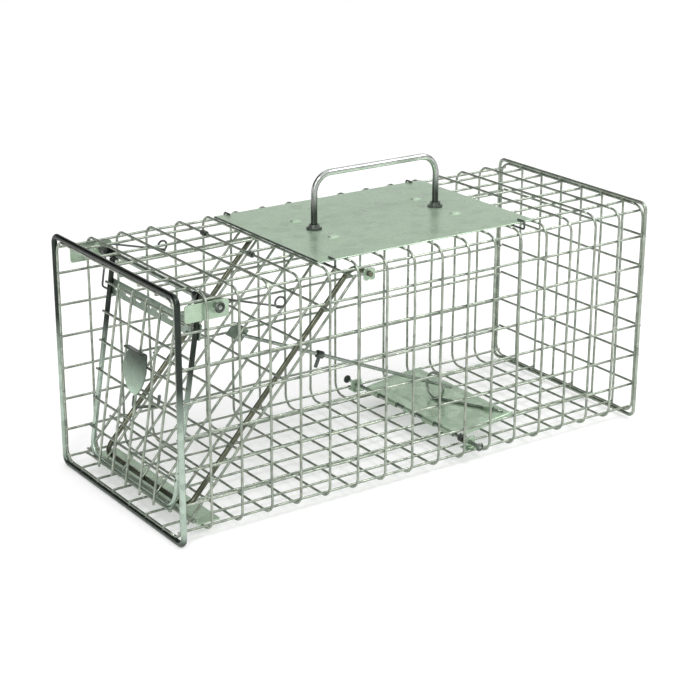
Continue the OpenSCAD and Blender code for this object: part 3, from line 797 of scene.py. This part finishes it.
def spring_leg(side):
    node = "flap_spring_leg_left" if side > 0 else "flap_spring_leg_right"
    y = side * (2.5 * CELL / MM + 3)
    points = FLAP.all((-3, y, 4.9), (26, y, 4.9), (26, y - side * 7, 4.9))
    path = refine(fillet(points, 0.002, steps=6), 0.008)
    Builder().tube(path, 0.0008, sides=10, dome=0.3).done(node + "_wire", "lock_flap", "spring_wire", [node])


def treadle_fittings():
    at = pivot("treadle_hinge")
    lo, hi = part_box("treadle_spring")
    coil = helix((at.x, lo.y + 0.0005, at.z), 0.0028, 5, 0.00112, -1)
    Builder().tube(coil, 0.0005, sides=8, dome=0.2).done(
        "treadle_coil", "cage", "spring_wire", ["treadle_spring"])
    for side in ("left", "right"):
        softened("treadle_saddle_" + side, "cage", "sheet")
    softened("treadle_ring_clip", "treadle", "sheet")


def waver(path, seed, amount, away):
    """Slow bow of a hand-straightened wire in the direction away."""
    return [p + away * noise.noise(Vector((p.x * 23 + seed, p.y * 23, p.z * 23))) * amount for p in path]


def grid(local, rows, columns, row_z, column_z, name, body, replaces):
    """Welded panel: rows are (x, y0, y1) and columns are (y, x0, x1), in the part's own millimetres."""
    b = Builder()
    normal = local.z
    for k, (y, x0, x1) in enumerate(columns):
        path = refine([local(x0, y, column_z), local(x1, y, column_z)], LONG_STEP)
        b.tube(waver(path, k * 3.7, 0.0004, Vector((0, 1, 0))), WIRE)
    for k, (x, y0, y1) in enumerate(rows):
        path = refine([local(x, y0, row_z), local(x, y1, row_z)], LONG_STEP)
        b.tube(waver(path, k * 5.1, 0.0004, local.x), WIRE)
        for y, x0, x1 in columns:
            if x0 - 1 < x < x1 + 1 and y0 - 1 < y < y1 + 1:
                nugget(b, local(x, y, (row_z + column_z) / 2), normal)
    b.done(name, body, "mesh_wire", replaces)


def door():
    arm = 2.5 * CELL / MM
    pin = WIDTH / 2 / MM - 1
    frame_points = DOOR.all((0, -pin), (0, -arm), (DOOR_LEN, -arm), (DOOR_LEN, arm), (0, arm), (0, pin))
    rod(frame_points, 0.002, 0.008, "door_bow", "door", "door_rod", ["door_frame"])
    half = (6.2 * CELL / MM - 2) / 2
    columns = [(-half + k * half / 3, 6, DOOR_LEN + 10) for k in range(7)]
    pitch = (DOOR_LEN - 2) / 7
    rows = [(8 + k * pitch, -half - 1, half + 1) for k in range(8)]
    grid(DOOR, rows, columns, 4.7, 3.1, "door_grid", "door", ["door_mesh"])
    rod(DOOR.all((DOOR_LEN + 6, -half - 1, 0.5), (DOOR_LEN + 6, half + 1, 0.5)), 0.0015, 0.001,
        "door_stiffener", "door", "heavy_rod", ["door_lower_rod"])
    softened("trigger_lug", "door", "dull_sheet")


def flap():
    arm = 2.5 * CELL / MM
    b = Builder()
    corners = FLAP.all((3, -arm), (FLAP_LEN, -arm), (FLAP_LEN, arm), (3, arm))
    path = refine(fillet(corners, 0.014, steps=12), 0.008)
    b.tube(path, 0.002, sides=18, dome=0.2)
    for s in (-1, 1):
        b.blob(FLAP(4.6, s * arm, 0), (0.0016, 0.0028, 0.0028), (FLAP.x, Vector((0, 1, 0)), FLAP.z))
    tube = soft_profile([(2.1, -5), (4.0, -5), (4.0, 5), (2.1, 5)], 0.4)
    for s in (-1, 1):
        turned(b.bm, tube, FLAP(0, s * arm, 0), (0, 1, 0))
    bmesh.ops.recalc_face_normals(b.bm, faces=b.bm.faces)
    b.done("flap_rod", "lock_flap", "ring_rod", ["flap_frame"])
    columns = [(-arm + k * arm / 3, 18, FLAP_LEN + 2) for k in range(1, 6)]
    rows = [(22 + k * (FLAP_LEN - 23) / 6, -arm - 1, arm + 1) for k in range(7)]
    grid(FLAP, rows, columns, 3.1, 4.7, "flap_grid", "lock_flap", ["flap_mesh"])
    x = 2.88 * CELL / MM + 28.5
    hook = FLAP.all((x - 9, 2.3, 4.4), (x, 2.3, 4.4), (x, 2.3, -17), (x - 8, 2.3, -17))
    rod(hook, 0.0012, 0.0025, "lift_hook", "lock_flap", "fixings", ["flap_hook"])
    half = arm + 3
    slots = [rectangle(23.4, 27.4, c - 4.5, c + 4.5, 1.9)
             for c in (-arm + (k + 0.5) * arm / 4 for k in range(8))]
    bm = sheet_mesh(rectangle(19.4, 31.4, -half, half, 1.5), slots, 1.2, 0.25)
    shaped(bm, lambda p: FLAP(p.x, p.y, p.z - 3.3), "slotted_strip", "lock_flap", "dull_sheet",
           ["flap_top_strip"])


def grip():
    """Leaf-shaped finger grip: dished a little, with its top edge folded out over a bend."""
    h, w, t, r, fold = 34.0, 33.0, 1.2, 1.0, 7.0
    x0 = 2.88 * CELL / MM - h / 2
    top = 0.37 * w
    flat = fold - t - r + (r + t / 2) * math.pi / 2
    edge = r + t
    side = [(edge - flat, top), (edge, top + 0.4), (0.2 * h, 0.455 * w), (0.38 * h, 0.498 * w),
            (0.52 * h, 0.485 * w), (0.66 * h, 0.435 * w), (0.80 * h, 0.35 * w), (0.90 * h, 0.262 * w),
            (0.97 * h, 0.165 * w), (h, 0.06 * w)]
    outline = rounded([(x, -y) for x, y in side] + [(x, y) for x, y in reversed(side)], 1.2, steps=3)
    arc = [edge - (r + t / 2) * math.pi / 2 * k / 6 for k in range(7)]
    bm = sheet_mesh(outline, [], t, 0.3, arc + steps_between(edge + 2, h - 1, 16),
                    steps_between(-w / 2, w / 2, 16)[1:-1])

    def place(p):
        along, up = folded_down(edge - p.x, t - p.z, 0, r, t)
        down = min(1, max(0, (p.x - edge) / (h - edge)))
        bulge = 1.5 * 4 * down * (1 - down) + 0.6 * (1 - (2 * p.y / w) ** 2) * min(1, down * 4)
        return FLAP(x0 + edge - along, p.y, 5.8 + t - up + bulge)
    shaped(bm, place, "finger_grip", "lock_flap", "grip_sheet", ["flap_grip"])


def trigger():
    path = TRIGGER.all((0, 9.5), (0, 0), (TRIGGER_LEN, 0))
    rod(path, 0.0015, 0.003, "trigger_wire", "trigger", "heavy_rod", ["trigger_rod"])
    bm = bmesh.new()
    x = 3 * CELL / MM
    collar = soft_profile([(1.6, -3), (3.1, -3), (3.1, 3), (1.6, 3)], 0.5)
    turned(bm, collar, TRIGGER(x, 0, 0), TRIGGER.x)
    peg = soft_profile([(0.02, -11), (1.5, -11), (1.5, -1.7), (0.02, -1.7)], 0.4)
    turned(bm, peg, TRIGGER(x, 0, 0), TRIGGER.z)
    finish_turned(bm, "stop_collar", "trigger", "fixings", ["trigger_stop"])


def treadle():
    """Pressed plate: five knuckles curled round the axle, three edges folded down and a shallow bead."""
    half, length = 2.5 * CELL / MM, 2.2 * CELL / MM
    t, r, lip, z0 = 0.9, 0.6, 4.0, 1.75
    yf, xf = half - t - r, length - t - r
    flat = lip - t - r + (r + t / 2) * math.pi / 2
    knuckle = 14.0
    curl = 2 * math.pi * (z0 + t / 2) * 0.78
    outline = [(0, -yf), (6, -yf), (6, -yf - flat), (xf, -yf - flat), (xf, -yf), (xf + flat, -yf),
               (xf + flat, yf), (xf, yf), (xf, yf + flat), (6, yf + flat), (6, yf), (0, yf)]
    for k in range(4, -1, -1):
        y = (k - 2) * 2 * half / 5
        top = min(yf, y + knuckle / 2)
        low = max(-yf, y - knuckle / 2)
        if top < yf:
            outline.append((0, top))
        outline += [(-curl, top), (-curl, low)]
        if low > -yf:
            outline.append((0, low))
    outline = rounded(outline, 0.35, steps=2)
    arcs = (r + t / 2) * math.pi / 2
    cuts_x = [-curl * k / 20 for k in range(21)] + steps_between(2, xf, 30)
    cuts_x += [xf + arcs * k / 5 for k in range(1, 6)]
    cuts_y = steps_between(-yf, yf, 44) + [s * (yf + arcs * k / 5) for k in range(1, 6) for s in (-1, 1)]
    bm = sheet_mesh(outline, [], t, 0.2, cuts_x, cuts_y)

    def place(p):
        x, y, w = p.x, p.y, p.z
        if x < 0:
            a = -x / (z0 + t / 2)
            return TREADLE(-(z0 + w) * math.sin(a), y, (z0 + w) * math.cos(a))
        ring = max(abs(y) / (yf - 7), abs(x - xf / 2) / (xf / 2 - 7))
        bead = min(1, x / 3) * 0.45 * math.exp(-((ring - 1) * 6) ** 2)
        if abs(y) > yf:
            along, up = folded_down(abs(y), w, yf, r, t)
            return TREADLE(x, math.copysign(along, y), z0 + up)
        along, up = folded_down(x, w, xf, r, t)
        return TREADLE(along, y, z0 + up + (bead if x <= xf else 0))
    shaped(bm, place, "pressed_treadle", "treadle", "sheet", ["treadle_plate"])
    ring_x, ring_r, wire = 1.05 * CELL / MM, 11.0, 0.0011
    floor_z = z0 + t + 0.1 + 1.1
    foot = TREADLE(ring_x, 0, floor_z)
    centre = foot + TREADLE.z * ring_r * MM
    up = Vector((0, 0, 1))
    loop = [centre + (Vector((0, math.sin(a), 0)) - up * math.cos(a)) * ring_r * MM
            for a in (2 * math.pi * k / 44 for k in range(44))]
    b = Builder().tube(loop, wire, sides=12, closed=True)
    leg = TREADLE(length - 6, -half + 5, floor_z)
    b.tube(refine([foot, leg], 0.01), wire, sides=12, dome=0.4)
    b.blob(foot, (0.0030, 0.0019, 0.0014), (TREADLE.x, Vector((0, 1, 0)), TREADLE.z))
    b.done("guide_ring", "treadle", "heavy_rod", ["treadle_ring"])


entrance_sill()
guard_plate()
guard_plate_clips()
handle()
hoop_sleeves()
caps("flap_rod_caps", 4)
caps("treadle_axle_caps", 3)
for hand in ("left", "right"):
    pivot_plate("door_pivot_bracket_" + hand, 4, 9)
    pivot_plate("flap_bracket_" + hand, 4, 13)
for hand in (-1, 1):
    torsion_spring(hand)
    spring_leg(hand)
treadle_fittings()
door()
flap()
grip()
trigger()
treadle()


# ---------- studio ----------

def studio():
    bpy.ops.mesh.primitive_plane_add(size=24, location=(0, 0, 0))
    floor = bpy.context.object
    floor.name = "studio_floor"
    m = bpy.data.materials.new("studio_paper")
    m.use_nodes = True
    n = m.node_tree.nodes
    n["Principled BSDF"].inputs["Roughness"].default_value = 0.8
    n["Principled BSDF"].inputs["Emission Color"].default_value = (1, 1, 1, 1)
    n["Principled BSDF"].inputs["Emission Strength"].default_value = 0.42
    grain = n.new("ShaderNodeTexNoise")
    grain.inputs["Scale"].default_value = 60
    tint = ramp(n, [(0.3, (0.60, 0.60, 0.60)), (0.7, (0.63, 0.63, 0.63))])
    links(m.node_tree, (grain.outputs["Fac"], tint.inputs["Fac"]),
          (tint.outputs["Color"], n["Principled BSDF"].inputs["Base Color"]))
    floor.data.materials.append(m)
    sky()

    def softbox(name, at, aim, size, power):
        data = bpy.data.lights.new(name, "AREA")
        data.shape = "RECTANGLE"
        data.size, data.size_y = size
        data.energy = power
        o = bpy.data.objects.new(name, data)
        bpy.context.scene.collection.objects.link(o)
        o.location = at
        o.rotation_euler = (Vector(aim) - Vector(at)).to_track_quat("-Z", "Y").to_euler()

    softbox("key", (0.9, -0.6, 1.3), (0, 0, 0.08), (0.8, 0.5), 9)
    softbox("fill", (-1.3, -0.9, 0.9), (-0.1, 0, 0.1), (0.5, 0.9), 5)
    softbox("kicker", (-0.79, -0.70, 1.42), (-0.22, -0.09, 0.18), (0.25, 0.25), 5)


def sky():
    """Studio round the trap: white walls, a bright ceiling, and darkness above the wall on the left."""
    world = bpy.data.worlds.new("studio")
    bpy.context.scene.world = world
    world.use_nodes = True
    t = world.node_tree
    n = t.nodes
    where = n.new("ShaderNodeTexCoord")
    parts = n.new("ShaderNodeSeparateXYZ")
    height = ramp(n, [(0.0, (0.22,) * 3), (0.30, (0.3, 0.31, 0.3)), (0.45, (0.9, 0.91, 0.9)),
                      (0.70, (1.2, 1.2, 1.2))])
    card = n.new("ShaderNodeVectorMath")
    card.operation = "DOT_PRODUCT"
    card.inputs[1].default_value = Vector((-0.45, 0.72, 0.45)).normalized()
    shade = ramp(n, [(0.72, (1, 1, 1)), (0.84, (0.06, 0.065, 0.06))])
    both = n.new("ShaderNodeMix")
    both.data_type = "RGBA"
    both.blend_type = "MULTIPLY"
    both.inputs["Factor"].default_value = 1.0
    walls = ramp(n, [(0.19, (0, 0, 0)), (0.24, (1, 1, 1))])
    room = n.new("ShaderNodeMix")
    room.data_type = "RGBA"
    room.inputs["A"].default_value = (1, 1, 1, 1)
    links(t,
          (where.outputs["Generated"], parts.inputs["Vector"]),
          (parts.outputs["Z"], height.inputs["Fac"]),
          (where.outputs["Generated"], card.inputs[0]),
          (card.outputs["Value"], shade.inputs["Fac"]),
          (height.outputs["Color"], both.inputs["A"]),
          (shade.outputs["Color"], both.inputs["B"]),
          (parts.outputs["Z"], walls.inputs["Fac"]),
          (walls.outputs["Color"], room.inputs["Factor"]),
          (both.outputs["Result"], room.inputs["B"]),
          (room.outputs["Result"], n["Background"].inputs["Color"]))


EYE = (-22.32, -39.95, 22.15)     # cells from the entrance, the right wall and the floor
TURN = (70.10, -0.22, -34.96)     # degrees
LENS = 93                         # millimetres
NEAREST = 0.05                    # start of the camera's clipping range


def camera():
    """Stands where the photograph was taken from, turned to centre the trap."""
    data = bpy.data.cameras.new("camera")
    o = bpy.data.objects.new("camera", data)
    bpy.context.scene.collection.objects.link(o)
    o.location = (px(EYE[0]), py(EYE[1]), pz(EYE[2]))
    o.rotation_euler = [math.radians(a) for a in TURN]
    data.lens = LENS
    data.clip_start = NEAREST
    bpy.context.scene.camera = o


studio()
camera()
bpy.context.scene.view_settings.view_transform = "Standard"
